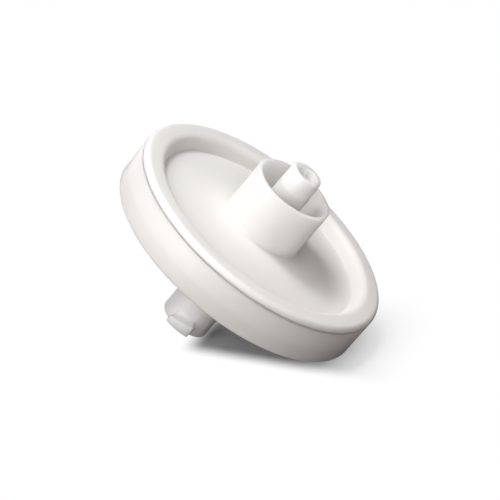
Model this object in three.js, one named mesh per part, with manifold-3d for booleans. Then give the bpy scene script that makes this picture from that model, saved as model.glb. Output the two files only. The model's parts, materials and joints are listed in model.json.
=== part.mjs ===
// Syringe filter of the 33 mm size. An outlet half with a collared male Luer tip and an inlet half
// with a female Luer hub are welded together, and a membrane is clamped between them.
// Millimetres. Each piece is drawn upright, with the flow axis on Z and the foot of the band at
// z = 0. The filter is then laid down, resting on the foot of its band and the mouth of its hub,
// with +Z up and the origin under the middle of its outline.

import * as THREE from 'three';
import { mergeVertices } from 'three/addons/utils/BufferGeometryUtils.js';
import Module from 'manifold-3d';

const wasm = await Module();
wasm.setup();

// ---- Driving dimensions ----

const degrees = THREE.MathUtils.degToRad;

const facets = 60; // flats round every turned form, with one flat facing the ground

const disc = {
  radius: 16.5, // outside of the band at the seam
  draft: 0.06, // the band is this much narrower at its foot
  height: 5.7, // foot of the band to the crest of the rim
};

const restRound = 0.2; // outer corners of the band's foot and the hub's mouth, which touch the ground

const fit = {
  seam: 0.3, // open line between the rim and the top of the band
  seat: 0.25, // clearance wherever one piece sits in or on another
};

const band = {
  wall: 1.5, // thickness of the band at its top
  footWall: 1.35, // thickness at its foot
  topBreak: 0.12, // small chamfer on the band's upper outer edge
};

const rim = {
  strip: 0.06, // upright strip between the seam and the shoulder
  shoulderRound: 0.75,
  topSlope: 7, // degrees that the top falls from the crest to the shoulder
  crestRadius: 14.6, // highest line of the rim
  innerRound: 1, // radius where the crest turns down into the recess
};

const face = {
  rise: 1.05, // the face is a low cone, this much higher at the collar than at its edge
  wallLean: 20, // degrees that the recess wall leans from the upright
  fillet: 0.35, // foot of the recess wall
  plate: 0.72, // thickness of the outlet plate
};

const drain = {
  depth: 0.28, // open height under the edge of the face
  clampWidth: 2.1, // ring that presses on the edge of the membrane
  ringWidth: 0.6,
  ringPitch: 2.0,
  channelWidth: 1.1, // radial channels through the rings
  channels: 8,
};

const membrane = {
  thickness: 0.2,
  edgeInset: 0.45, // the disc stops this far inside the plug of the outlet half
};

const tip = {
  endRadius: 1.965,
  taper: 0.06, // Luer taper, on the diameter
  length: 8.7, // from the face at the collar to the tip's end
  bore: 1.05, // radius of the bore
  mouthRadius: 1.3, // the bore flares to this at the tip's end
  mouthDepth: 0.6,
  endRound: 0.3,
};

const collar = {
  gap: 1.774, // open width round the root of the tip
  wall: 0.92,
  height: 6.2, // above the face
  lipWall: 0.42, // the inside flares, so the wall is this thin at the lip
  lipDepth: 1.2, // length of the flare
  lipRound: 0.12, // outer corner of the lip
  baseFillet: 0.35,
};

const inletPlate = {
  recess: 1.65, // foot of the band to the underside of the plate at its edge
  thickness: 0.7,
  drop: 0.9, // the plate is a low cone, this much lower at the hub
  fillet: 0.4, // foot of the recess wall
};

const spreader = {
  count: 12, // radial ribs that keep the membrane off the plate
  width: 0.7,
  innerRadius: 2.4,
  edgeGap: 0.6, // the ribs stop this far inside the clamped edge
};

const hub = {
  mouthRadius: 2.15, // female Luer socket at its mouth
  wall: 0.8, // at the mouth
  length: 10.3, // foot of the band to the mouth
  baseFillet: 0.5,
  leadIn: 0.12, // small chamfer at the mouth
  socketDepth: 9.0,
  orifice: 1.1, // radius of the passage from the socket to the chamber
};

const lug = {
  height: 0.95, // above the hub
  halfAngle: 24, // degrees
  turn: 1, // degrees that the lugs are turned from the level line
  thickness: 1.45, // along the axis, at the middle of the lug
  lead: 5, // rise of the thread in one turn
  setback: 0.12, // from the mouth
  flank: 0.25, // the lug is this much thinner at its outside
  steps: 6,
};

// ---- Heights and radii that follow from them ----

// The top of the rim falls in a straight line from the round of the crest to that of the shoulder.
const rimCrestZ = disc.height;
const topSlope = degrees(rim.topSlope);
const shoulderRadius = disc.radius - rim.shoulderRound;
const roundStep = rim.innerRound - rim.shoulderRound;
const topWidth = shoulderRadius - rim.crestRadius - roundStep * Math.sin(topSlope);
const crestZ = rimCrestZ - rim.innerRound;
const shoulderZ = crestZ + roundStep * Math.cos(topSlope) - topWidth * Math.tan(topSlope);
const seamTopZ = shoulderZ - rim.strip;
const bandTopZ = seamTopZ - fit.seam;

const landZ = inletPlate.recess + inletPlate.thickness;
const membraneZ = landZ + fit.seat;
const clampZ = membraneZ + membrane.thickness + fit.seat;
const faceEdgeZ = clampZ + drain.depth + face.plate;
const faceTopZ = faceEdgeZ + face.rise;

const bandInnerRadius = disc.radius - band.wall;
const plugRadius = bandInnerRadius - fit.seat;
const clampInnerRadius = plugRadius - drain.clampWidth;
const skirtInnerRadius = disc.radius - disc.draft - band.footWall;

const hubEndZ = -hub.length;
const hubRadius = hub.mouthRadius + hub.wall;
const socketEndRadius = hub.mouthRadius - (tip.taper / 2) * hub.socketDepth;
const chamberZ = landZ - inletPlate.drop;
const plateAtHubZ = inletPlate.recess - inletPlate.drop;

const tipEndZ = faceTopZ + tip.length;
const tipRootRadius = tip.endRadius + (tip.taper / 2) * tip.length;
const collarEndZ = faceTopZ + collar.height;
const collarInnerRadius = tipRootRadius + collar.gap;
const collarRadius = collarInnerRadius + collar.wall;
const lipInnerRadius = collarRadius - collar.lipWall;

// The recess wall runs at one lean from the round of the crest to the hollow corner at the face.
const wallLean = degrees(face.wallLean);
const wallRounds = rim.innerRound + face.fillet;
const wallDrop = rimCrestZ - faceEdgeZ - wallRounds * (1 - Math.sin(wallLean));
const faceEdgeRadius = rim.crestRadius - wallRounds * Math.cos(wallLean) - wallDrop * Math.tan(wallLean);

// The plate keeps one thickness: its underside follows the cone and is level inside the collar.
const faceSlope = face.rise / (faceEdgeRadius - collarRadius);
const drainZ = (r) => faceEdgeZ - face.plate + faceSlope * (faceEdgeRadius - Math.max(r, collarRadius));

// ---- Materials ----

const plastic = (color, roughness) => new THREE.MeshStandardMaterial({ color, roughness, metalness: 0 });

const whitePolypropylene = plastic('#f1efea', 0.42);
const naturalPolypropylene = plastic('#e6e6e2', 0.3);
const membraneFilm = plastic('#fbfbf8', 0.9);

// ---- Geometry helpers ----

// Points of an arc in the (radius, height) plane, both ends included.
function arc(centreR, centreZ, radius, from, to, steps) {
  return Array.from({ length: steps + 1 }, (_, i) => {
    const angle = degrees(from + ((to - from) * i) / steps);
    return [centreR + radius * Math.cos(angle), centreZ + radius * Math.sin(angle)];
  });
}

// A closed mesh as a solid: only positions are kept, and faces that shrank to a line are dropped.
function solidOf(geometry) {
  const bare = geometry.clone();
  bare.deleteAttribute('normal');
  bare.deleteAttribute('uv');
  const merged = mergeVertices(bare, 1e-5);
  const corners = merged.index.array;
  const faces = [];
  for (let i = 0; i < corners.length; i += 3) {
    const [a, b, c] = corners.slice(i, i + 3);
    if (a !== b && b !== c && c !== a) faces.push(a, b, c);
  }
  const vertProperties = new Float32Array(merged.attributes.position.array);
  return new wasm.Manifold(new wasm.Mesh({ numProp: 3, vertProperties, triVerts: new Uint32Array(faces) }));
}

// A ring turned about Z from a closed outline that runs anticlockwise in (radius, height).
function turned(outline) {
  const points = [...outline, outline[0]].map(([r, z]) => new THREE.Vector2(r, z));
  const halfFlat = Math.PI / facets;
  const geometry = new THREE.LatheGeometry(points, facets, halfFlat, Math.PI * 2);
  return solidOf(geometry.rotateX(Math.PI / 2));
}

// A solid swept about Z through a row of four-cornered sections, closed at both ends.
function lofted(sections) {
  const positions = sections.flat(2);
  const faces = [];
  for (let i = 0; i < sections.length - 1; i += 1) {
    for (let k = 0; k < 4; k += 1) {
      const a = 4 * i + k;
      const b = 4 * i + ((k + 1) % 4);
      faces.push(a, b + 4, b, a, a + 4, b + 4);
    }
  }
  const last = 4 * (sections.length - 1);
  faces.push(0, 1, 2, 0, 2, 3, last, last + 2, last + 1, last, last + 3, last + 2);
  const geometry = new THREE.BufferGeometry();
  geometry.setAttribute('position', new THREE.Float32BufferAttribute(positions, 3));
  geometry.setIndex(faces);
  return solidOf(geometry);
}

// A flat plate standing on a radius: an outline in (radius, height), `width` thick, at an angle.
function radialPlate(outline, width, angle) {
  const shape = new THREE.Shape(outline.map(([r, z]) => new THREE.Vector2(r, z)));
  const geometry = new THREE.ExtrudeGeometry(shape, { depth: width, bevelEnabled: false });
  geometry.translate(0, 0, -width / 2).rotateX(Math.PI / 2).rotateZ(degrees(angle));
  return solidOf(geometry);
}

function meshOf(solid, name, material) {
  const { vertProperties, triVerts } = solid.getMesh();
  const geometry = new THREE.BufferGeometry();
  geometry.setAttribute('position', new THREE.BufferAttribute(vertProperties, 3));
  geometry.setIndex(new THREE.BufferAttribute(triVerts, 1));
  geometry.computeVertexNormals();
  const mesh = new THREE.Mesh(geometry, material);
  mesh.name = name;
  return mesh;
}

// ---- Outlet half ----

// Plug, rim, recessed face, collar and tip, as one turned outline.
function outletBody() {
  return turned([
    [tip.bore, drainZ(tip.bore)],
    [collarRadius, drainZ(collarRadius)],
    [clampInnerRadius, drainZ(clampInnerRadius)],
    [clampInnerRadius, clampZ],
    [plugRadius, clampZ],
    [plugRadius, seamTopZ],
    ...rimProfile(),
    ...collarProfile(),
    [tipRootRadius, faceTopZ],
    ...arc(tip.endRadius - tip.endRound, tipEndZ - tip.endRound, tip.endRound, 0, 90, 3),
    [tip.mouthRadius, tipEndZ],
    [tip.bore, tipEndZ - tip.mouthDepth],
  ]);
}

// From the seam over the crest and down the recess wall to the edge of the face.
function rimProfile() {
  const { shoulderRound, crestRadius, innerRound } = rim;
  const { fillet, wallLean: lean } = face;
  const topTurn = 90 - rim.topSlope;
  return [
    [disc.radius, seamTopZ],
    ...arc(shoulderRadius, shoulderZ, shoulderRound, 0, topTurn, 6),
    ...arc(crestRadius, crestZ, innerRound, topTurn, 180 - lean, 6),
    ...arc(faceEdgeRadius, faceEdgeZ + fillet, fillet, -lean, -90, 3),
  ];
}

// From the hollow corner at the face over the lip and down to the floor inside the collar.
function collarProfile() {
  const { baseFillet, lipRound, lipDepth } = collar;
  return [
    ...arc(collarRadius + baseFillet, faceTopZ + baseFillet, baseFillet, 270, 180, 3),
    ...arc(collarRadius - lipRound, collarEndZ - lipRound, lipRound, 0, 90, 2),
    [lipInnerRadius, collarEndZ],
    [collarInnerRadius, collarEndZ - lipDepth],
    [collarInnerRadius, faceTopZ],
  ];
}

// Rings that hold the membrane flat on the outlet side, cut through by radial drains.
function supportRings() {
  const { ringWidth, ringPitch, channelWidth, channels } = drain;
  const sunk = face.plate / 2;
  const rings = [];
  for (let r = clampInnerRadius - ringPitch; r > tip.bore + ringWidth; r -= ringPitch) {
    const inner = r - ringWidth / 2;
    const outer = r + ringWidth / 2;
    const roots = [[outer, drainZ(outer) + sunk], [inner, drainZ(inner) + sunk]];
    rings.push(turned([[inner, clampZ], [outer, clampZ], ...roots]));
  }
  const lowZ = clampZ - face.plate;
  const reach = [[0, lowZ], [clampInnerRadius, lowZ], [clampInnerRadius, faceTopZ], [0, faceTopZ]];
  return Array.from({ length: channels }, (_, i) => radialPlate(reach, channelWidth, (360 * i) / channels))
    .reduce((solid, channel) => solid.subtract(channel), wasm.Manifold.union(rings));
}

function outletHalf() {
  return outletBody().add(supportRings());
}

// ---- Inlet half ----

// Hub, plate and band, as one turned outline.
function inletBody() {
  const footRadius = disc.radius - disc.draft;
  return turned([
    [hub.mouthRadius + hub.leadIn, hubEndZ],
    ...arc(hubRadius - restRound, hubEndZ + restRound, restRound, -90, 0, 3),
    ...hubFillet(),
    ...skirtFillet(),
    [skirtInnerRadius, 0],
    ...arc(footRadius - restRound, restRound, restRound, -90, 0, 3),
    [disc.radius, bandTopZ - band.topBreak],
    [disc.radius - band.topBreak, bandTopZ],
    [bandInnerRadius, bandTopZ],
    [bandInnerRadius, landZ],
    [clampInnerRadius, landZ],
    [hub.orifice, chamberZ],
    [hub.orifice, hubEndZ + hub.socketDepth],
    [socketEndRadius, hubEndZ + hub.socketDepth],
    [hub.mouthRadius, hubEndZ + hub.leadIn],
  ]);
}

// Hollow corner where the hub meets the underside of the plate.
function hubFillet() {
  const { baseFillet } = hub;
  return arc(hubRadius + baseFillet, plateAtHubZ - baseFillet, baseFillet, 180, 90, 3);
}

// Hollow corner where the underside of the plate meets the inside of the band.
function skirtFillet() {
  const { fillet, recess } = inletPlate;
  return arc(skirtInnerRadius - fillet, recess - fillet, fillet, 90, 0, 2);
}

// Ribs that spread the liquid over the membrane and hold it off the plate.
function spreaderRibs() {
  const { count, width, innerRadius, edgeGap } = spreader;
  const outerRadius = clampInnerRadius - edgeGap;
  const floorSlope = inletPlate.drop / (clampInnerRadius - hub.orifice);
  const floorZ = (r) => chamberZ + floorSlope * (r - hub.orifice);
  const sunk = inletPlate.thickness / 2;
  const outline = [
    [innerRadius, floorZ(innerRadius) - sunk],
    [outerRadius, floorZ(outerRadius) - sunk],
    [outerRadius, landZ],
    [innerRadius, landZ],
  ];
  const ribs = Array.from({ length: count }, (_, i) => radialPlate(outline, width, (360 * i) / count));
  return wasm.Manifold.union(ribs);
}

// One Luer lug: a short length of coarse thread that starts at the mouth.
function luerLug(middle) {
  const { height, halfAngle, thickness, lead, setback, flank, steps } = lug;
  const innerRadius = hubRadius - hub.wall / 2;
  const outerRadius = hubRadius + height;
  const lowZ = hubEndZ + setback;
  const up = new THREE.Vector3(0, 0, 1);
  const sections = Array.from({ length: steps + 1 }, (_, i) => {
    const turn = halfAngle * ((2 * i) / steps - 1);
    const highZ = lowZ + thickness + (lead * turn) / 360;
    const corner = (r, z) => new THREE.Vector3(r, 0, z).applyAxisAngle(up, degrees(middle + turn)).toArray();
    return [
      corner(innerRadius, lowZ),
      corner(outerRadius, lowZ),
      corner(outerRadius, highZ - flank),
      corner(innerRadius, highZ),
    ];
  });
  return lofted(sections);
}

function inletHalf() {
  return [spreaderRibs(), luerLug(90 - lug.turn), luerLug(270 - lug.turn)]
    .reduce((solid, feature) => solid.add(feature), inletBody());
}

// ---- Membrane ----

function filterMembrane() {
  const radius = plugRadius - membrane.edgeInset;
  const geometry = new THREE.CylinderGeometry(radius, radius, membrane.thickness, facets);
  return solidOf(geometry.rotateX(Math.PI / 2).translate(0, 0, membraneZ + membrane.thickness / 2));
}

// ---- Assembly ----

const upright = new THREE.Group();
upright.add(meshOf(outletHalf(), 'outlet_half', whitePolypropylene));
upright.add(meshOf(inletHalf(), 'inlet_half', naturalPolypropylene));
upright.add(meshOf(filterMembrane(), 'filter_membrane', membraneFilm));

// The foot of the band and the mouth of the hub touch the ground together.
const footToHub = (disc.radius - disc.draft - hubRadius) * Math.cos(Math.PI / facets);
upright.rotation.y = Math.atan2(hub.length, footToHub);

const syringeFilter = new THREE.Group();
syringeFilter.add(upright);
const box = new THREE.Box3().setFromObject(syringeFilter, true);
upright.position.set(-(box.min.x + box.max.x) / 2, -(box.min.y + box.max.y) / 2, -box.min.z);

export default syringeFilter;
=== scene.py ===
import json
import math

import bmesh
import bpy
from mathutils import Matrix, Vector


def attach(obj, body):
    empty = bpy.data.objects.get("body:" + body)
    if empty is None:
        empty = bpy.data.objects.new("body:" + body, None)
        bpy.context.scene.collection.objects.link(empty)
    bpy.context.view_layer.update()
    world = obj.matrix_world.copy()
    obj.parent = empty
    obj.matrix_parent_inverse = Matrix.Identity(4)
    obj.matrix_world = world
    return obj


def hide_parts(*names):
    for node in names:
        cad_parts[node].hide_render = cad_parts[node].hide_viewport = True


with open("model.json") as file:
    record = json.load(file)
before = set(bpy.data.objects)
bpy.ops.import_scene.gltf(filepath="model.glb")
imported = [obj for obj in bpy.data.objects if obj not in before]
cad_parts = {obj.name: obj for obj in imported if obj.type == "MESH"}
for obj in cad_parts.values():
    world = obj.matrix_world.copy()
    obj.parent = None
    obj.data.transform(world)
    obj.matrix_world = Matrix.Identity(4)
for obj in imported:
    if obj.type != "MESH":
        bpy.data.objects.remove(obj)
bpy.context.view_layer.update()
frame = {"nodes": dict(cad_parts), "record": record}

# The filter is drawn upright in millimetres, with the flow axis on Z and z = 0 at the foot of the
# band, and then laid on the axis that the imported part's mounts give.
mm = 0.001
scene = bpy.context.scene
mounts = {m["name"]: m for m in frame["record"]["mounts"]}
flowAxis = Vector(mounts["outlet_tip_end"]["axis"]).normalized()
lean = math.atan2(flowAxis.x, flowAxis.z)


mouth = mounts["inlet_mouth"]["pos_m"]
mouthCentre = Vector((mouth[0], 0, mouth[2]))  # the mount lies beside the axis along Y only


def roundCorner(r, z, radius, start, end, steps=6):
    # a rounded corner of an outline, about (r, z), from one angle in degrees to the other
    turns = [math.radians(start + (end - start) * i / steps) for i in range(steps + 1)]
    return [(r + radius * math.cos(t), z + radius * math.sin(t)) for t in turns]


def addNode(tree, kind, settings=None, links=None):
    # settings go to the node's own options or, by name or number, to its unlinked inputs
    node = tree.nodes.new(kind)
    for key, value in (settings or {}).items():
        if isinstance(key, str) and hasattr(node, key):
            setattr(node, key, value)
        else:
            node.inputs[key].default_value = value
    for key, source in (links or {}).items():
        tree.links.new(source, node.inputs[key])
    return node


def newTree(name, sockets):
    # a geometry tree that takes a shape and the named inputs, and gives a shape back
    tree = bpy.data.node_groups.new(name, "GeometryNodeTree")
    tree.interface.new_socket("Geometry", in_out="INPUT", socket_type="NodeSocketGeometry")
    for label, kind in sockets:
        tree.interface.new_socket(label, in_out="INPUT", socket_type="NodeSocket" + kind)
    tree.interface.new_socket("Geometry", in_out="OUTPUT", socket_type="NodeSocketGeometry")
    return tree, addNode(tree, "NodeGroupInput").outputs


weldReach = 0.001 * mm  # points closer than this become one
cornerAngle = math.radians(32)  # edges that turn by more than this stay sharp


def endTree(tree, geometry, given):
    # one closed skin, sharp only at real corners, in its material
    merged = addNode(tree, "GeometryNodeMergeByDistance", {"Distance": weldReach}, {"Geometry": geometry})
    smooth = addNode(tree, "GeometryNodeSetShadeSmooth", {"domain": "FACE"}, {"Geometry": merged.outputs[0]})
    angle = addNode(tree, "GeometryNodeInputMeshEdgeAngle")
    sharp = addNode(tree, "FunctionNodeCompare", {"operation": "GREATER_THAN", 1: cornerAngle},
                    {0: angle.outputs["Unsigned Angle"]})
    edges = addNode(tree, "GeometryNodeSetShadeSmooth", {"domain": "EDGE", "Shade Smooth": False},
                    {"Geometry": smooth.outputs[0], "Selection": sharp.outputs[0]})
    real = addNode(tree, "GeometryNodeRealizeInstances", None, {"Geometry": edges.outputs[0]})
    dyed = addNode(tree, "GeometryNodeSetMaterial", None,
                   {"Geometry": real.outputs[0], "Material": given["Material"]})
    addNode(tree, "NodeGroupOutput", None, {0: dyed.outputs[0]})


def turnedTree():
    # revolves an outline, given as loose points in the XZ plane, about Z: each column of a grid is
    # the outline once more, turned a step further, and its last row closes on the first point
    tree, given = newTree("turned form", [("Sides", "Int"), ("Material", "Material")])
    count = addNode(tree, "GeometryNodeAttributeDomainSize", None, {"Geometry": given["Geometry"]})
    columns = addNode(tree, "ShaderNodeMath", {"operation": "ADD", 1: 1}, {0: given["Sides"]})
    rows = addNode(tree, "ShaderNodeMath", {"operation": "ADD", 1: 1}, {0: count.outputs["Point Count"]})
    grid = addNode(tree, "GeometryNodeMeshGrid", None,
                   {"Vertices X": columns.outputs[0], "Vertices Y": rows.outputs[0]})
    index = addNode(tree, "GeometryNodeInputIndex").outputs[0]
    column = addNode(tree, "ShaderNodeMath", {"operation": "DIVIDE"}, {0: index, 1: rows.outputs[0]})
    column = addNode(tree, "ShaderNodeMath", {"operation": "FLOOR"}, {0: column.outputs[0]})
    row = addNode(tree, "ShaderNodeMath", {"operation": "MODULO"}, {0: index, 1: rows.outputs[0]})
    row = addNode(tree, "ShaderNodeMath", {"operation": "MODULO"},
                  {0: row.outputs[0], 1: count.outputs["Point Count"]})
    share = addNode(tree, "ShaderNodeMath", {"operation": "DIVIDE"},
                    {0: column.outputs[0], 1: given["Sides"]})
    turn = addNode(tree, "ShaderNodeMath", {"operation": "MULTIPLY", 1: 2 * math.pi}, {0: share.outputs[0]})
    place = addNode(tree, "GeometryNodeInputPosition").outputs[0]
    point = addNode(tree, "GeometryNodeSampleIndex", {"data_type": "FLOAT_VECTOR"},
                    {"Geometry": given["Geometry"], "Value": place, "Index": row.outputs[0]})
    spun = addNode(tree, "ShaderNodeVectorRotate", {"rotation_type": "Z_AXIS"},
                   {"Vector": point.outputs[0], "Angle": turn.outputs[0]})
    skin = addNode(tree, "GeometryNodeSetPosition", None,
                   {"Geometry": grid.outputs["Mesh"], "Position": spun.outputs[0]})
    endTree(tree, skin.outputs[0], given)
    return tree


def roundAxisTree():
    # repeats one shape about Z at equal turns
    tree, given = newTree("set round the axis",
                          [("Count", "Int"), ("First turn", "Float"), ("Material", "Material")])
    spots = addNode(tree, "GeometryNodePoints", None, {"Count": given["Count"]})
    index = addNode(tree, "GeometryNodeInputIndex").outputs[0]
    step = addNode(tree, "ShaderNodeMath", {"operation": "DIVIDE", 0: 2 * math.pi}, {1: given["Count"]})
    turn = addNode(tree, "ShaderNodeMath", {"operation": "MULTIPLY_ADD"},
                   {0: index, 1: step.outputs[0], 2: given["First turn"]})
    facing = addNode(tree, "ShaderNodeCombineXYZ", None, {"Z": turn.outputs[0]})
    copies = addNode(tree, "GeometryNodeInstanceOnPoints", None,
                     {"Points": spots.outputs[0], "Instance": given["Geometry"],
                      "Rotation": facing.outputs[0]})
    real = addNode(tree, "GeometryNodeRealizeInstances", None, {"Geometry": copies.outputs[0]})
    endTree(tree, real.outputs[0], given)
    return tree


def newObject(name, vertices, faces):
    # vertices in millimetres
    mesh = bpy.data.meshes.new(name)
    mesh.from_pydata([Vector(v) * mm for v in vertices], [], faces)
    thing = bpy.data.objects.new(name, mesh)
    scene.collection.objects.link(thing)
    return thing


def grown(thing, tree, inputs):
    # runs a tree on an object and keeps the result as its plain mesh
    grower = thing.modifiers.new(tree.name, "NODES")
    grower.node_group = tree
    sockets = {s.name: s.identifier for s in tree.interface.items_tree if s.in_out == "INPUT"}
    for label, value in inputs.items():
        grower[sockets[label]] = value
    return baked(thing)


def baked(thing):
    # the object with its modifiers worked into its mesh
    bpy.context.view_layer.update()
    solved = thing.evaluated_get(bpy.context.evaluated_depsgraph_get())
    mesh = bpy.data.meshes.new_from_object(solved)
    thing.modifiers.clear()
    thing.data = mesh
    return thing


turnedForm = turnedTree()
roundTheAxis = roundAxisTree()
turnedSides = 256
print("trees ready")


def turned(name, outline, material):
    points = newObject(name, [(r, 0, z) for r, z in outline], [])
    return grown(points, turnedForm, {"Sides": turnedSides, "Material": material})


def setRound(shape, count, firstTurn, material):
    inputs = {"Count": count, "First turn": math.radians(firstTurn), "Material": material}
    return grown(shape, roundTheAxis, inputs)


def faceOutwards(thing):
    work = bmesh.new()
    work.from_mesh(thing.data)
    bmesh.ops.recalc_face_normals(work, faces=work.faces)
    work.to_mesh(thing.data)
    work.free()
    return thing


def bevelled(thing, width, segments, leastTurn):
    # rounds the edges that turn by more than an angle in degrees
    edge = thing.modifiers.new("edge", "BEVEL")
    edge.width = width * mm
    edge.segments = segments
    edge.limit_method = "ANGLE"
    edge.angle_limit = math.radians(leastTurn)
    return baked(thing)


def fused(body, feature):
    weld = body.modifiers.new("weld", "BOOLEAN")
    weld.operation = "UNION"
    weld.solver = "EXACT"
    weld.object = feature
    baked(body)
    bpy.data.objects.remove(feature)


def laidDown(thing):
    # from the upright drawing to the part's own place
    thing.data.transform(Matrix.Translation(footCentre) @ Matrix.Rotation(lean, 4, "Y"))


# sizes shared by the two halves, in millimetres; heights are above the foot of the band
disc = {
    "radius": 16.5, "draft": 0.06, "height": 5.7,
    "seam": 4.7, "seamGap": 0.015, "seamDepth": 0.15,  # the weld, an open line that ends 0.15 inside
    "groove": 0.06, "grooveSide": 0.2,  # the skin dips this deep over this height towards the seam
    "step": 0.3, "slip": 0.06,  # the locating step inside the seam, and its play
    "plugRadius": 14.75, "bandRadius": 15.0,
    "clampRadius": 12.65, "clamp": 3.05, "land": 2.35,  # rings that hold the membrane between them
}
hub = {"radius": 2.95, "length": 10.3, "mouth": 2.15, "leadIn": 0.12, "depth": 9.0, "orifice": 1.1,
       "edge": 0.2, "rootFillet": 0.5, "taper": 0.06}
footCentre = mouthCentre + flowAxis * (hub["length"] * mm)


def linear(hexValue):
    parts = [int(hexValue[i:i + 2], 16) / 255 for i in (1, 3, 5)]
    return [*((c / 12.92 if c <= 0.04045 else ((c + 0.055) / 1.055) ** 2.4) for c in parts), 1]


def waves(length):
    # noise scale, per metre, for a pattern with the given size in millimetres
    return 1 / (length * mm)


def byHeight(tree, where, levels, values):
    # runs from one value to the other between two heights above the foot of the band
    along = addNode(tree, "ShaderNodeVectorMath", {"operation": "DOT_PRODUCT", 1: flowAxis}, {0: where})
    low, high = (footCentre.dot(flowAxis) + z * mm for z in levels)
    return addNode(tree, "ShaderNodeMapRange",
                   {"From Min": low, "From Max": high, "To Min": values[0], "To Max": values[1]},
                   {"Value": along.outputs["Value"]}).outputs[0]


polypropyleneIor = 1.49


def plastic(name, look):
    # moulded polypropylene: milky in the mass, with a soft gloss from the polished mould,
    # cloudy by a shade and never quite flat
    material = bpy.data.materials.new(name)
    material.use_nodes = True
    tree = material.node_tree
    shader = tree.nodes["Principled BSDF"]
    shader.inputs["IOR"].default_value = polypropyleneIor
    shader.inputs["Subsurface Weight"].default_value = 1.0
    shader.inputs["Subsurface Radius"].default_value = (1.0, 1.0, 1.0)  # all colours go equally deep
    where = addNode(tree, "ShaderNodeTexCoord").outputs["Object"]
    # the colour goes by height, where the walls grow thin or lie double; its steps are painted
    # light and shade: paler for light through thin free walls, greyer for shade behind a single wall
    tonesWithPaintedLight = look["tonesWithPaintedLight"]
    lowest, highest = tonesWithPaintedLight[0][0], tonesWithPaintedLight[-1][0]
    body = addNode(tree, "ShaderNodeValToRGB", None,
                   {"Fac": byHeight(tree, where, (lowest, highest), (0.0, 1.0))})
    stops = body.color_ramp.elements
    while len(stops) < len(tonesWithPaintedLight):
        stops.new(0.5)
    for stop, (z, colour) in zip(stops, tonesWithPaintedLight):
        stop.position = (z - lowest) / (highest - lowest)
        stop.color = linear(colour)
    cloud = addNode(tree, "ShaderNodeTexNoise", {"Scale": waves(look["cloudSize"]), "Detail": 3.0},
                    {"Vector": where})
    shade = addNode(tree, "ShaderNodeValToRGB", None, {"Fac": cloud.outputs["Fac"]})
    shade.color_ramp.interpolation = "EASE"
    shade.color_ramp.elements[0].position, shade.color_ramp.elements[1].position = 0.2, 0.8
    shade.color_ramp.elements[0].color = linear(look["cloud"])
    shade.color_ramp.elements[1].color = linear("#ffffff")
    clouded = addNode(tree, "ShaderNodeMix", {"data_type": "RGBA", "blend_type": "MULTIPLY", 0: 1.0},
                      {6: body.outputs["Color"], 7: shade.outputs["Color"]})
    tree.links.new(clouded.outputs[2], shader.inputs["Base Color"])
    film = addNode(tree, "ShaderNodeTexNoise", {"Scale": waves(look["filmSize"]), "Detail": 4.0},
                   {"Vector": where})
    smoothest, roughest = look["gloss"]
    gloss = addNode(tree, "ShaderNodeMapRange",
                    {"From Min": 0.3, "From Max": 0.7,  # nearly all of the noise lies between these
                     "To Min": smoothest, "To Max": roughest},
                    {"Value": film.outputs["Fac"]})
    tree.links.new(gloss.outputs[0], shader.inputs["Roughness"])
    ripple = addNode(tree, "ShaderNodeTexNoise", {"Scale": waves(look["rippleSize"]), "Detail": 2.0},
                     {"Vector": where})
    bump = addNode(tree, "ShaderNodeBump",
                   {"Strength": look["ripple"], "Distance": look["rippleHeight"] * mm},
                   {"Height": ripple.outputs["Fac"]})
    tree.links.new(bump.outputs[0], shader.inputs["Normal"])
    # round the seam the light stays near the surface; the free walls of the fittings glow through
    depths = [depth * mm for depth in (look["freeDepth"], look["milkDepth"])]
    tree.links.new(byHeight(tree, where, look["depthsAt"], depths), shader.inputs["Subsurface Scale"])
    if "clear" in look:
        clear = byHeight(tree, where, look["clearAt"], (look["clear"], 0.0))
        tree.links.new(clear, shader.inputs["Transmission Weight"])
    return material


# the colour stops by height hold the plastic's own tone and, in their steps, painted light and shade;
# clear is the share of light that goes straight through; heights, sizes and depths are in millimetres
whitePolypropylene = plastic("moulded polypropylene, white", {
    # painted light: the collar a shade paler, and the tip above it paler still, for how brightly they are
    # lit
    "tonesWithPaintedLight": [(0, "#e7e5e2"), (5.8, "#e7e5e2"), (6.6, "#e9e7e4"), (11.2, "#e9e7e4"),
              (11.6, "#f3f1ee"), (14, "#f3f1ee")],
    "cloud": "#fcfcfc", "cloudSize": 9.0,
    "milkDepth": 0.7, "freeDepth": 3.0, "depthsAt": (6.6, 5.8),
    "gloss": (0.50, 0.60), "filmSize": 5.0,
    "ripple": 0.12, "rippleSize": 1.6, "rippleHeight": 0.02,
})
naturalPolypropylene = plastic("moulded polypropylene, natural", {
    # painted light and shade: the hub much paler for light through its clear wall, the skirt of the band
    # greyer for the shade behind its single wall
    "tonesWithPaintedLight": [(-11, "#fcfbf8"), (-0.3, "#fcfbf8"), (0, "#e0dfdc"), (1.7, "#e1e0dd"),
              (2.4, "#e7e5e3"), (5, "#e7e5e3")],
    "cloud": "#fcfcfc", "cloudSize": 8.0,
    "milkDepth": 0.4, "freeDepth": 0.8, "depthsAt": (1.8, 2.6),
    "clear": 0.15, "clearAt": (-0.4, 0.2),
    "gloss": (0.30, 0.38), "filmSize": 4.0,
    "ripple": 0.02, "rippleSize": 1.4, "rippleHeight": 0.02,
})


# the pores are far too small to see, so the tooth they give is drawn at 0.15 mm
filmLook = {"dark": "#f2f2ee", "light": "#fafaf7", "ior": 1.45, "roughness": 0.9,
            "tooth": 0.3, "toothSize": 0.15, "toothHeight": 0.01}


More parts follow.
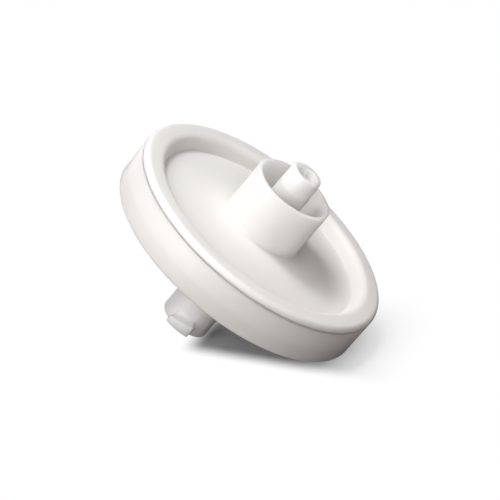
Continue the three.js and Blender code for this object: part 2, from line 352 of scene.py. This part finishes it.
def membraneFilm(look):
    # cast microporous film: chalky, with a fine even tooth
    material = bpy.data.materials.new("microporous membrane film")
    material.use_nodes = True
    tree = material.node_tree
    shader = tree.nodes["Principled BSDF"]
    shader.inputs["Roughness"].default_value = look["roughness"]
    shader.inputs["IOR"].default_value = look["ior"]
    where = addNode(tree, "ShaderNodeTexCoord").outputs["Object"]
    tooth = addNode(tree, "ShaderNodeTexNoise", {"Scale": waves(look["toothSize"]), "Detail": 2.0},
                    {"Vector": where})
    shade = addNode(tree, "ShaderNodeValToRGB", None, {"Fac": tooth.outputs["Fac"]})
    shade.color_ramp.elements[0].color = linear(look["dark"])
    shade.color_ramp.elements[1].color = linear(look["light"])
    tree.links.new(shade.outputs["Color"], shader.inputs["Base Color"])
    bump = addNode(tree, "ShaderNodeBump",
                   {"Strength": look["tooth"], "Distance": look["toothHeight"] * mm},
                   {"Height": tooth.outputs["Fac"]})
    tree.links.new(bump.outputs[0], shader.inputs["Normal"])
    return material


print("materials ready")

# the white half: rim, recessed face, collar and male tip; angles in degrees
outlet = {
    "shoulderRound": 0.75, "topSlope": 4, "crestInner": 14.6, "crestRound": 1.0,
    "wallLean": 20, "wallFillet": 0.2,
    "faceEdge": 4.05, "faceRise": 1.05, "plate": 0.72,  # a low cone that rises to the collar
    "rootFillet": 0.35, "rootStart": 262,  # the fillet leaves the cone at this angle
    "collarRadius": 4.92, "collarWall": 0.92, "collarHeight": 6.2,
    "lipWall": 0.42, "lipDepth": 1.2, "lipRound": 0.12,  # the collar flares inside at its lip
    "tipRadius": 1.965, "tipLength": 8.7, "tipRound": 0.3, "taper": 0.06,
    "bore": 1.05, "boreMouth": 1.3, "boreFlare": 0.6,
    "mouthBreak": (0.08, 0.06),  # small chamfer at the mouth of the bore, width and depth
}


def outletOutline(half):
    seam = disc["seam"] + disc["seamGap"] / 2
    leanAngle, topAngle = math.radians(half["wallLean"]), math.radians(half["topSlope"])
    crest, fillet = half["crestRound"], half["wallFillet"]
    drop = disc["height"] - half["faceEdge"] - (crest + fillet) * (1 - math.sin(leanAngle))
    edge = half["crestInner"] - (crest + fillet) * math.cos(leanAngle) - drop * math.tan(leanAngle)
    shoulder = half["shoulderRound"]
    outerTop = disc["radius"] - shoulder * (1 - math.sin(topAngle))
    width = outerTop - half["crestInner"] - crest * math.sin(topAngle)
    shoulderTop = disc["height"] - crest * (1 - math.cos(topAngle)) - width * math.tan(topAngle)
    faceTop = half["faceEdge"] + half["faceRise"]
    collarTop = faceTop + half["collarHeight"]
    collarInner = half["collarRadius"] - half["collarWall"]
    lipInner = half["collarRadius"] - half["lipWall"]
    tipTop = faceTop + half["tipLength"]
    tipRoot = half["tipRadius"] + half["taper"] / 2 * half["tipLength"]
    slope = half["faceRise"] / (edge - half["collarRadius"])

    def under(r):
        # the lower side of the plate, level inside the collar
        return half["faceEdge"] - half["plate"] + slope * (edge - max(r, half["collarRadius"]))

    lip, root, tipRound = half["lipRound"], half["rootFillet"], half["tipRound"]
    breakWidth, breakDepth = half["mouthBreak"]
    insideSeam = disc["radius"] - disc["seamDepth"] - disc["slip"]
    return [
        (half["bore"], under(0)),
        (half["collarRadius"], under(0)),
        (disc["clampRadius"], under(disc["clampRadius"])),
        (disc["clampRadius"], disc["clamp"]),
        (disc["plugRadius"], disc["clamp"]),
        (disc["plugRadius"], seam - disc["step"]),
        (insideSeam, seam - disc["step"]),
        (insideSeam, seam),
        (disc["radius"] - disc["groove"], seam),
        (disc["radius"], seam + disc["grooveSide"]),
        *roundCorner(disc["radius"] - shoulder, shoulderTop - shoulder * math.cos(topAngle), shoulder,
                     0, 90 - half["topSlope"], 12),
        *roundCorner(half["crestInner"], disc["height"] - crest, crest,
                     90 - half["topSlope"], 180 - half["wallLean"], 12),
        *roundCorner(edge, half["faceEdge"] + fillet, fillet,
                     -half["wallLean"], -90 - math.degrees(slope), 8),
        *roundCorner(half["collarRadius"] + root, faceTop + root, root, half["rootStart"], 180, 8),
        *roundCorner(half["collarRadius"] - lip, collarTop - lip, lip, 0, 90),
        (lipInner, collarTop),
        (collarInner, collarTop - half["lipDepth"]),
        *roundCorner(collarInner - root, faceTop + root, root, 360, 270),
        *roundCorner(tipRoot + root, faceTop + root, root, 270, 180),
        *roundCorner(half["tipRadius"] - tipRound, tipTop - tipRound, tipRound, 0, 90, 8),
        (half["boreMouth"] + breakWidth, tipTop),
        (half["boreMouth"], tipTop - breakDepth),
        (half["bore"], tipTop - half["boreFlare"]),
    ]


outletHalf = turned("outlet_half_smooth", outletOutline(outlet), whitePolypropylene)
laidDown(outletHalf)
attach(outletHalf, "root")
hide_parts("outlet_half")
print("outlet half", len(outletHalf.data.polygons), "faces")


# the natural half: band, plate and hub
inlet = {
    "footWall": 1.35, "footRound": 0.2, "footBreak": 0.1,
    "recess": 1.65, "drop": 0.9, "fillet": 0.4,  # the plate sinks towards the hub by the drop
    "lugZone": (2.1, 2.6),  # rings of points above the lugs, so that their weld stays tidy
}


def inletOutline(half):
    top = disc["seam"] - disc["seamGap"] / 2
    foot = disc["radius"] - disc["draft"]
    skirt = foot - half["footWall"]
    end = -hub["length"]
    socketEnd = hub["mouth"] - hub["taper"] / 2 * hub["depth"]
    plateAtHub = half["recess"] - half["drop"]
    root = hub["rootFillet"]
    return [
        (hub["mouth"] + hub["leadIn"], end),
        *roundCorner(hub["radius"] - hub["edge"], end + hub["edge"], hub["edge"], -90, 0, 8),
        *((hub["radius"], end + above) for above in half["lugZone"]),
        *roundCorner(hub["radius"] + root, plateAtHub - root, root, 180, 90, 8),
        *roundCorner(skirt - half["fillet"], half["recess"] - half["fillet"], half["fillet"], 90, 0, 8),
        (skirt, half["footBreak"]),
        (skirt + half["footBreak"], 0),
        *roundCorner(foot - half["footRound"], half["footRound"], half["footRound"], -90, 0, 8),
        (disc["radius"], top - disc["grooveSide"]),
        (disc["radius"] - disc["groove"], top),
        (disc["radius"] - disc["seamDepth"], top),
        (disc["radius"] - disc["seamDepth"], top - disc["step"]),
        (disc["bandRadius"], top - disc["step"]),
        (disc["bandRadius"], disc["land"]),
        (disc["clampRadius"], disc["land"]),
        (hub["orifice"], disc["land"] - half["drop"]),
        (hub["orifice"], end + hub["depth"]),
        (socketEnd, end + hub["depth"]),
        (hub["mouth"], end + hub["leadIn"]),
    ]


# two short lengths of coarse thread that lock the hub; sunk is how far their feet go into the wall
lug = {
    "count": 2, "turn": 1, "halfAngle": 24,
    "height": 0.95, "sunk": 0.4, "thickness": 1.45, "lead": 5, "setback": 0.12, "flank": 0.25,
    "steps": 14, "edge": 0.12, "edgeSteps": 3, "edgeTurn": 30,
}


def lugShape(one):
    # one lug, with its middle on +X
    inner, outer = hub["radius"] - one["sunk"], hub["radius"] + one["height"]
    low = -hub["length"] + one["setback"]
    vertices, faces = [], []
    for i in range(one["steps"] + 1):
        turn = one["halfAngle"] * (2 * i / one["steps"] - 1)
        high = low + one["thickness"] + one["lead"] * turn / 360
        corners = [(inner, low), (outer, low), (outer, high - one["flank"]), (inner, high)]
        c, s = math.cos(math.radians(turn)), math.sin(math.radians(turn))
        vertices += [(r * c, r * s, z) for r, z in corners]
    for i in range(one["steps"]):
        for k in range(4):
            a, b = 4 * i + k, 4 * i + (k + 1) % 4
            faces.append((a, b, b + 4, a + 4))
    last = 4 * one["steps"]
    faces += [(3, 2, 1, 0), (last, last + 1, last + 2, last + 3)]
    shape = faceOutwards(newObject("lug", vertices, faces))
    return bevelled(shape, one["edge"], one["edgeSteps"], one["edgeTurn"])


inletHalf = turned("inlet_half_smooth", inletOutline(inlet), naturalPolypropylene)
lugs = setRound(lugShape(lug), lug["count"], 90 - lug["turn"], naturalPolypropylene)
fused(inletHalf, lugs)
laidDown(inletHalf)
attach(inletHalf, "root")
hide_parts("inlet_half")
print("inlet half", len(inletHalf.data.polygons), "faces")

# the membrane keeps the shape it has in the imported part
membrane = frame["nodes"]["filter_membrane"]
membrane.data.materials.clear()
membrane.data.materials.append(membraneFilm(filmLook))
print("membrane ready")

# degrees, and millimetres for the distance, the lens and the aim
view = {"azimuth": 15.4, "elevation": 19.9, "distance": 470, "lens": 296.5, "aim": (0.34, -1.25, 11.45)}


def placeCamera(shot):
    a, e = math.radians(shot["azimuth"]), math.radians(shot["elevation"])
    back = Vector((math.sin(a) * math.cos(e), -math.cos(a) * math.cos(e), math.sin(e)))
    data = bpy.data.cameras.new("camera")
    data.lens = shot["lens"]
    data.clip_start, data.clip_end = 0.01, 20
    camera = bpy.data.objects.new("camera", data)
    camera.location = (Vector(shot["aim"]) + back * shot["distance"]) * mm
    facing = (-back).to_track_quat("-Z", "Y")
    camera.rotation_euler = facing.to_euler()
    scene.collection.objects.link(camera)
    scene.camera = camera
    return facing.to_matrix()


lampDistance = 0.5


def lamp(name, towards, size, watts):
    # a soft round lamp that shines on the middle of the part
    data = bpy.data.lights.new(name, "AREA")
    data.shape = "DISK"
    data.size = size
    data.energy = watts
    thing = bpy.data.objects.new(name, data)
    towards = towards.normalized()
    thing.location = Vector(view["aim"]) * mm + towards * lampDistance
    thing.rotation_euler = towards.to_track_quat("Z", "Y").to_euler()
    scene.collection.objects.link(thing)


def seenRays(tree, glossy):
    # how much of the white studio a ray is shown: all of it to the eye and through clear plastic,
    # and a share in the sheen
    path = addNode(tree, "ShaderNodeLightPath")
    sheen = addNode(tree, "ShaderNodeMath", {"operation": "MULTIPLY", 1: glossy},
                    {0: path.outputs["Is Glossy Ray"]})
    total = sheen.outputs[0]
    for kind in ("Is Camera Ray", "Is Transmission Ray"):
        total = addNode(tree, "ShaderNodeMath", {"operation": "MAXIMUM"},
                        {0: total, 1: path.outputs[kind]}).outputs[0]
    return total


def floorMaterial(paper):
    # white paper that keeps the part's shadow and runs out into pure white round it
    material = bpy.data.materials.new("white paper")
    material.use_nodes = True
    tree = material.node_tree
    shader = tree.nodes["Principled BSDF"]
    shader.inputs["Roughness"].default_value = paper["roughness"]
    seen = seenRays(tree, paper["sheen"])
    colour = addNode(tree, "ShaderNodeMix",
                     {"data_type": "RGBA", 6: linear(paper["bounce"]), 7: linear(paper["shade"])}, {0: seen})
    tree.links.new(colour.outputs[2], shader.inputs["Base Color"])
    where = addNode(tree, "ShaderNodeTexCoord").outputs["Object"]
    # how much of the shadow is kept: none beyond any of the soft edges
    kept = None
    for direction, start, end in paper["edges"]:
        along = addNode(tree, "ShaderNodeVectorMath", {"operation": "DOT_PRODUCT", 1: (*direction, 0)},
                        {0: where})
        edge = addNode(tree, "ShaderNodeMapRange",
                       {"interpolation_type": "SMOOTHSTEP", "From Min": start * mm, "From Max": end * mm,
                        "To Min": 1.0, "To Max": 0.0}, {"Value": along.outputs["Value"]}).outputs[0]
        if kept:
            edge = addNode(tree, "ShaderNodeMath", {"operation": "MULTIPLY"}, {0: kept, 1: edge}).outputs[0]
        kept = edge
    openPaper = addNode(tree, "ShaderNodeMath", {"operation": "SUBTRACT", 0: 1.0}, {1: kept})
    outside = addNode(tree, "ShaderNodeMath", {"operation": "MULTIPLY"},
                      {0: openPaper.outputs[0], 1: seen})
    # clear plastic is looked through from all sides, so behind it the paper is white
    path = addNode(tree, "ShaderNodeLightPath")
    through = addNode(tree, "ShaderNodeMath", {"operation": "MULTIPLY", 1: paper["through"]},
                      {0: path.outputs["Is Transmission Ray"]})
    share = addNode(tree, "ShaderNodeMath", {"operation": "MAXIMUM"},
                    {0: outside.outputs[0], 1: through.outputs[0]})
    white = addNode(tree, "ShaderNodeEmission", {"Color": linear("#ffffff"), "Strength": 1.0})
    both = addNode(tree, "ShaderNodeMixShader", None,
                   {0: share.outputs[0], 1: shader.outputs[0], 2: white.outputs[0]})
    tree.links.new(both.outputs[0], tree.nodes["Material Output"].inputs["Surface"])
    return material


def worldLight(glossy):
    # white all round for the rays that see it, and no light of its own
    world = bpy.data.worlds.new("studio")
    scene.world = world
    world.use_nodes = True
    tree = world.node_tree
    tree.nodes.clear()
    white = addNode(tree, "ShaderNodeBackground", {"Color": linear("#ffffff")},
                    {"Strength": seenRays(tree, glossy)})
    addNode(tree, "ShaderNodeOutputWorld", None, {0: white.outputs[0]})


viewSides = placeCamera(view)

# shade is the paper's colour as it is seen and bounce its colour as a reflector; each edge of the
# shadow is a direction on the floor with the distances, in millimetres, where it starts and ends
floorPaper = {
    "half": 1500, "drop": 0.02, "roughness": 0.9,
    "shade": "#b4b4b6", "bounce": "#5f524b", "sheen": 0.25, "through": 0.85,
    "edges": [((-0.17, -1), 3.3, 7.7), ((1, 0), 5, 20.5), ((-1, 0), 4.5, 7.5), ((0, 1), 0, 20)],
}
far = floorPaper["half"]
floor = newObject("floor", [(-far, -far, 0), (far, -far, 0), (far, far, 0), (-far, far, 0)], [(0, 1, 2, 3)])
floor.location.z = -floorPaper["drop"] * mm
floor.data.materials.append(floorMaterial(floorPaper))
worldLight(floorPaper["sheen"])

# direction as the camera sees it (right, up, back), width in metres, watts
lamps = {
    "key": ((-0.08, 0.93, 0.37), 0.15, 1.08),
    "key left": ((-0.45, 0.80, 0.40), 0.15, 0.08),
    "top left": ((-0.30, 0.80, 0.52), 0.3, 0.66),
    "top right": ((0.50, 0.75, 0.43), 0.3, 0.53),
    "right front": ((0.50, 0.50, 0.70), 0.3, 0.22),
    "upper front": ((-0.35, 0.50, 0.79), 0.3, 0.35),
    "left front": ((-0.75, 0.0, 0.66), 0.3, 0.68),
    "front": ((-0.50, 0.20, 0.85), 0.3, 0.25),
    "back low": ((-0.35, 0.38, -0.86), 0.3, 0.35),
    "front low": ((-0.15, -0.15, 0.98), 0.3, 1.0),
}
for name, (direction, size, watts) in lamps.items():
    lamp(name, viewSides @ Vector(direction), size, watts)
scene.view_settings.view_transform = "Standard"
print("stage ready")
